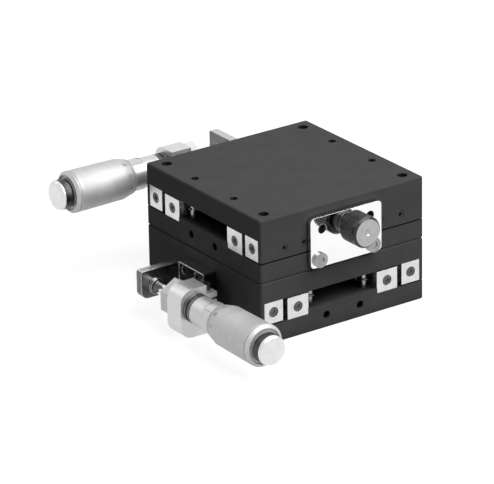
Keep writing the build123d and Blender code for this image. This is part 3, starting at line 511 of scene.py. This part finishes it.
def ring_faces(rings, steps):
    """The four-sided faces between rings of steps points each."""
    faces = []
    for ring in range(rings - 1):
        for k in range(steps):
            a, b = ring * steps + k, ring * steps + (k + 1) % steps
            faces.append((a, b, b + steps, a + steps))
    return faces


print("edges stay sharp above", round(math.degrees(CREASE)), "degrees")

# %% [markdown]
# A straight knurl is a row of flutes, and a flute is a change of radius round the circle. So
# it is made in the lathe outline itself: the rows inside the knurled band get the flutes, and
# the rows beside it stay round. Each flute takes four steps, two in the groove and two on
# the ridge.

# %% A lathe that can knurl
FLUTE_STEPS = 4
GROOVE_STEPS = (0, 1)
MIC_X, MIC_Z = -43.1, 10.9
KNOB_Z = 13.1


def on_barrel(along, radius, angle):
    """A point of the micrometer: along its axis, out from it, and round from straight up."""
    return (MIC_X + radius * math.sin(angle), -along, MIC_Z + radius * math.cos(angle))


def on_knob(along, radius, angle):
    """A point of the lock knob, whose axis points out of the stage along +X."""
    return (along, radius * math.cos(angle), KNOB_Z + radius * math.sin(angle))


def turned(outline, placed, flutes, knurled, depth):
    """Points and faces of a shell turned from (along, radius) pairs, with flutes in some rows."""
    steps = flutes * FLUTE_STEPS
    points = []
    for row, (along, radius) in enumerate(outline):
        for k in range(steps):
            grooved = row in knurled and k % FLUTE_STEPS in GROOVE_STEPS
            reach = radius - depth if grooved else radius
            points.append(placed(along, max(reach, 0.0), 2 * math.pi * k / steps))
    return points, ring_faces(len(outline), steps)


print("a point on the thimble:", [round(v, 1) for v in on_barrel(40, 6.5, 0)])

# %% [markdown]
# ## Thimble
# The outline starts inside, at the rear wall, and runs forward through the bore to the
# mouth. It turns back up the bevel that carries the lines and along the knurled grip,
# crosses a narrow groove before the rear rim, and ends at the hole for the cap.

# %% Thimble with a straight knurl
THIMBLE_FLUTES = 84
THIMBLE_FLUTE_DEPTH = 0.05
THIMBLE_KNURL = (9, 10)
THIMBLE_ROWS = [
    (49.0, 2.06), (49.0, 5.1), (28.3, 5.1), (28.3, 5.38), (28.42, 5.47),
    (32.1, 6.38), (32.3, 6.4), (37.4, 6.46), (37.6, 6.46), (37.7, 6.46),
    (47.4, 6.57), (47.5, 6.57), (47.7, 6.57), (48.9, 6.585), (48.95, 6.4),
    (49.25, 6.4), (49.3, 6.585), (49.6, 6.59), (50.35, 5.85), (50.5, 5.7),
    (50.5, 5.5), (49.7, 5.4), (49.7, 4.6), (50.5, 4.5), (50.5, 2.06), (49.0, 2.06),
]

for stage in PLACES:
    points, faces = turned(
        THIMBLE_ROWS, on_barrel, THIMBLE_FLUTES, THIMBLE_KNURL, THIMBLE_FLUTE_DEPTH,
    )
    thimble = make_piece(
        f"{stage}_knurled_thimble", points, faces, stage, f"{stage}_thimble",
        FINISHES["satin_chrome"],
    )
    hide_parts(f"{stage}_thimble")
print("thimble points:", len(points))

# %% [markdown]
# ## Cap
# The small cap at the end drives the thimble through a light ratchet, so it feels the same
# for every hand. It is finely fluted and dark where the fingers hold it, and its end is
# domed and polished.

# %% Cap
CAP_FLUTES = 60
CAP_FLUTE_DEPTH = 0.05
CAP_KNURL = (6, 7)
CAP_DOME_ROW = 9
CAP_ROWS = [
    (50.5, 0.0), (50.5, 4.3), (51.1, 4.3), (51.2, 4.62), (51.3, 4.7), (51.4, 4.7),
    (51.5, 4.7), (53.2, 4.7), (53.3, 4.7), (53.6, 4.7), (54.0, 4.6), (54.35, 4.35),
    (54.6, 3.95), (54.74, 3.4), (54.8, 2.8), (54.8, 1.1), (54.8, 0.0),
]

cap_knurl = finish("cap_knurl", grey(0.05), grey(0.09), (0.24, 0.34), size=0.10, depth=0.002)
cap_chrome = finish("cap_chrome", grey(0.66), grey(0.72), (0.26, 0.34), size=0.10, depth=0.002)
for stage in PLACES:
    points, faces = turned(CAP_ROWS, on_barrel, CAP_FLUTES, CAP_KNURL, CAP_FLUTE_DEPTH)
    cap = make_piece(f"{stage}_fluted_cap", points, faces, stage, f"{stage}_thimble", cap_chrome)
    cap.data.materials.append(cap_knurl)
    for face in cap.data.polygons:
        face.material_index = 1 if face.index < CAP_DOME_ROW * CAP_FLUTES * FLUTE_STEPS else 0
    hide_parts(f"{stage}_thimble_cap")
print("cap points:", len(points))

# %% [markdown]
# ## Lock knob
# The knob that clamps a stage is dark and straight knurled round its rim, with a bright
# turned face and a shallow dimple left by the lathe's centre. Its flutes are coarser and
# deeper than the thimble's, because it is tightened, not set.

# %% Lock knob
KNOB_FLUTES = 48
KNOB_FLUTE_DEPTH = 0.14
KNOB_KNURL = (10, 11)
KNOB_FACE_ROW = 14
KNOB_ROWS = [
    (30.15, 0.0), (30.15, 2.0), (32.9, 2.0), (32.9, 3.05), (31.95, 3.05), (31.95, 3.4),
    (34.6, 3.4), (34.6, 4.2), (35.3, 4.9), (35.6, 4.9), (35.7, 4.9), (40.9, 4.9),
    (41.0, 4.9), (41.9, 4.9), (42.6, 4.2), (42.6, 1.0), (42.3, 0.6), (42.3, 0.0),
]

for stage in PLACES:
    points, faces = turned(KNOB_ROWS, on_knob, KNOB_FLUTES, KNOB_KNURL, KNOB_FLUTE_DEPTH)
    knob = make_piece(
        f"{stage}_knurled_knob", points, faces, stage, f"{stage}_lock_knob",
        FINISHES["knob_nickel"],
    )
    knob.data.materials.append(FINISHES["knob_face"])
    for face in knob.data.polygons:
        face.material_index = 1 if face.index >= KNOB_FACE_ROW * KNOB_FLUTES * FLUTE_STEPS else 0
    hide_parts(f"{stage}_lock_knob")
print("knob points:", len(points))

# %% [markdown]
# ## Scales
# The lines are engraved and filled with black. At this size an engraving is best shown as
# its ink: thin patches that lie a hundredth of a millimetre above the metal and bend with
# it. The sleeve reads whole millimetres on one side of a long line and halves on the other.
# The thimble has fifty lines, one for each hundredth of a millimetre. FACING says how far
# round from straight up each scale sits, and which way its numbers are read.

# %% Ink patches on the barrel
LIFT = 0.012
PATCH_STEP = 0.35
TYPE_SIZE = 1.4
FACING = {"lower": (math.radians(-42), 1), "upper": (math.radians(28), -1)}
ink = finish(
    "engraving_ink", grey(0.03), grey(0.06), (0.45, 0.6), metallic=0.0,
    size=0.2, depth=0.001, specular=0.3,
)


def add_patch(points, faces, along, arc, radius_at):
    """A patch between two places along the barrel and two arcs round it, in millimetres."""
    strips = max(1, math.ceil(abs(arc[1] - arc[0]) / PATCH_STEP))
    first = len(points)
    for k in range(strips + 1):
        here = arc[0] + (arc[1] - arc[0]) * k / strips
        for place in along:
            radius = radius_at(place)
            points.append(on_barrel(place, radius + LIFT, here / radius))
    for k in range(strips):
        corner = first + 2 * k
        faces.append((corner, corner + 1, corner + 3, corner + 2))


def add_number(points, faces, text, height, place, arc, side, radius_at):
    """A number whose foot runs along the barrel, upright from the side it is read from."""
    words = bpy.data.curves.new("number", "FONT")
    words.body = text
    words.size = height * TYPE_SIZE
    words.align_x = "CENTER"
    words.align_y = "CENTER"
    holder = bpy.data.objects.new("number", words)
    flat = bpy.data.meshes.new_from_object(holder)
    first = len(points)
    for v in flat.vertices:
        along = place + side * v.co.x
        radius = radius_at(along)
        points.append(on_barrel(along, radius + LIFT, (arc + side * v.co.y) / radius))
    faces.extend(tuple(first + i for i in f.vertices) for f in flat.polygons)
    bpy.data.objects.remove(holder)
    bpy.data.meshes.remove(flat)


print("ink lift", LIFT, "mm")

# %% The sleeve's millimetre scale
SLEEVE_R = 5.0
SCALE_ZERO, SCALE_END = 24.2, 37.8
SCALE_HALVES = 27
LINE_HALF, MARK_HALF = 0.06, 0.05
LONG_MARK, SHORT_MARK = 1.7, 1.1
SLEEVE_DIGITS, DIGIT_ALONG, DIGIT_ARC = 1.5, 0.2, 2.7


def sleeve_radius(along):
    return SLEEVE_R


for stage, (facing, side) in FACING.items():
    middle = facing * SLEEVE_R
    points, faces = [], []
    line_arc = (middle - LINE_HALF, middle + LINE_HALF)
    add_patch(points, faces, (SCALE_ZERO - 0.1, SCALE_END), line_arc, sleeve_radius)
    for half in range(SCALE_HALVES):
        place = SCALE_ZERO + half * 0.5
        length = LONG_MARK if half % 10 == 0 else SHORT_MARK
        way = side if half % 2 == 0 else -side
        mark_arc = (middle + way * LINE_HALF, middle + way * length)
        add_patch(points, faces, (place - MARK_HALF, place + MARK_HALF), mark_arc, sleeve_radius)
    for value in (0, 5, 10):
        place = SCALE_ZERO + value + DIGIT_ALONG
        arc = middle + side * DIGIT_ARC
        add_number(points, faces, str(value), SLEEVE_DIGITS, place, arc, side, sleeve_radius)
    scale = make_piece(
        f"{stage}_sleeve_scale", points, faces, stage, CARRIERS[stage], ink, smooth=False,
    )
print("sleeve scale:", len(faces), "faces")

# %% The thimble's fifty lines
THIMBLE_LINES = 50
FACING_LINE = 20
LINE_START, LONG_LINE_END, SHORT_LINE_END = 28.5, 30.3, 29.7
THIMBLE_DIGITS, DIGITS_AT = 1.15, 31.2
(BEVEL_START, SMALL_R), (BEVEL_END, LARGE_R) = THIMBLE_ROWS[4:6]


def bevel_radius(along):
    """The thimble's radius on the bevel that carries the lines."""
    return SMALL_R + (along - BEVEL_START) * (LARGE_R - SMALL_R) / (BEVEL_END - BEVEL_START)


for stage, (facing, side) in FACING.items():
    points, faces = [], []
    for line in range(THIMBLE_LINES):
        angle = facing + side * (line - FACING_LINE) * 2 * math.pi / THIMBLE_LINES
        end = LONG_LINE_END if line % 5 == 0 else SHORT_LINE_END
        first = len(points)
        for place in (LINE_START, end):
            radius = bevel_radius(place) + LIFT
            half_width = MARK_HALF / radius
            points.append(on_barrel(place, radius, angle - half_width))
            points.append(on_barrel(place, radius, angle + half_width))
        faces.append((first, first + 1, first + 3, first + 2))
        if line % 5 == 0:
            arc = angle * bevel_radius(DIGITS_AT)
            add_number(points, faces, str(line), THIMBLE_DIGITS, DIGITS_AT, arc, side, bevel_radius)
    lines = make_piece(
        f"{stage}_thimble_scale", points, faces, stage, f"{stage}_thimble", ink, smooth=False,
    )
print("thimble scale:", len(faces), "faces")

# %% [markdown]
# ## Return springs
# Two tension springs in the channel pull the table back on the spindle. They are wound wire
# with an eye at each end, so the solid's plain tube is replaced by a real helix. The coil
# draws in towards its axis over the last turn at each end, where the wire leaves for the eye.

# %% The centre line of a spring
COIL_RADIUS, COIL_END_RADIUS = 1.5, 0.5
COILS = 46
COIL_STEPS = 14
COIL_START, COIL_END = -25.1, 18.6
POST_Y = (-26.5, 20.0)
SPRING_X, SPRING_Z = 9.95, 10.55
EYE_RADIUS, EYE_STEPS = 1.25, 14


def spring_eye(x, post_y, start, sweep):
    """Points of an eye round a post, from the start angle over the sweep, in degrees."""
    ring = []
    for k in range(EYE_STEPS + 1):
        a = math.radians(start + sweep * k / EYE_STEPS)
        ring.append((x + EYE_RADIUS * math.cos(a), post_y + EYE_RADIUS * math.sin(a), SPRING_Z))
    return ring


def coil(x):
    """Points of the coil about the spring's axis."""
    total = COILS * COIL_STEPS
    helix = []
    for k in range(total + 1):
        a = 2 * math.pi * k / COIL_STEPS
        ease = min(1.0, k / COIL_STEPS, (total - k) / COIL_STEPS)
        radius = COIL_END_RADIUS + (COIL_RADIUS - COIL_END_RADIUS) * ease
        y = COIL_START + (COIL_END - COIL_START) * k / total
        z = SPRING_Z + radius * math.cos(a) - COIL_END_RADIUS * (1 - ease)
        helix.append((x + radius * math.sin(a), y, z))
    return helix


def spring_line(side):
    """An eye round the base post, the coil, and an eye round the table post."""
    x = side * SPRING_X
    near = spring_eye(x, POST_Y[0], -60, -300)
    far = spring_eye(x, POST_Y[1], -120, 300)
    return [Vector(p) for p in near + coil(x) + far]


print("a spring's line has", len(spring_line(1)), "points")

# %% [markdown]
# The wire is a ring of six points carried along that line. Each ring keeps the direction of
# the ring before it as nearly as it can, so the wire doesn't twist.

# %% Wound springs
WIRE = 0.28
WIRE_SIDES = 6


def wire(line, radius):
    """Points and faces of a round wire along a centre line."""
    points = []
    carried = Vector((0, 0, 1))
    for i, here in enumerate(line):
        ahead = (line[min(i + 1, len(line) - 1)] - line[max(i - 1, 0)]).normalized()
        carried = (carried - ahead * carried.dot(ahead)).normalized()
        other = ahead.cross(carried)
        for k in range(WIRE_SIDES):
            a = 2 * math.pi * k / WIRE_SIDES
            points.append(here + (carried * math.cos(a) + other * math.sin(a)) * radius)
    return points, ring_faces(len(line), WIRE_SIDES)


for stage, place in PLACES.items():
    points, faces = [], []
    for side in (-1, 1):
        more, sheets = wire(spring_line(side), WIRE)
        faces.extend(tuple(len(points) + i for i in f) for f in sheets)
        points.extend(more)
    springs = draw_piece(f"{stage}_wound_springs", points, faces, stage, FINISHES["spring_steel"])
    smooth_over(springs)
    end = place @ Vector((0, COIL_END * MM, SPRING_Z * MM))
    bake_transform(springs)
    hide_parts(f"{stage}_return_springs")
print("spring points:", len(points))
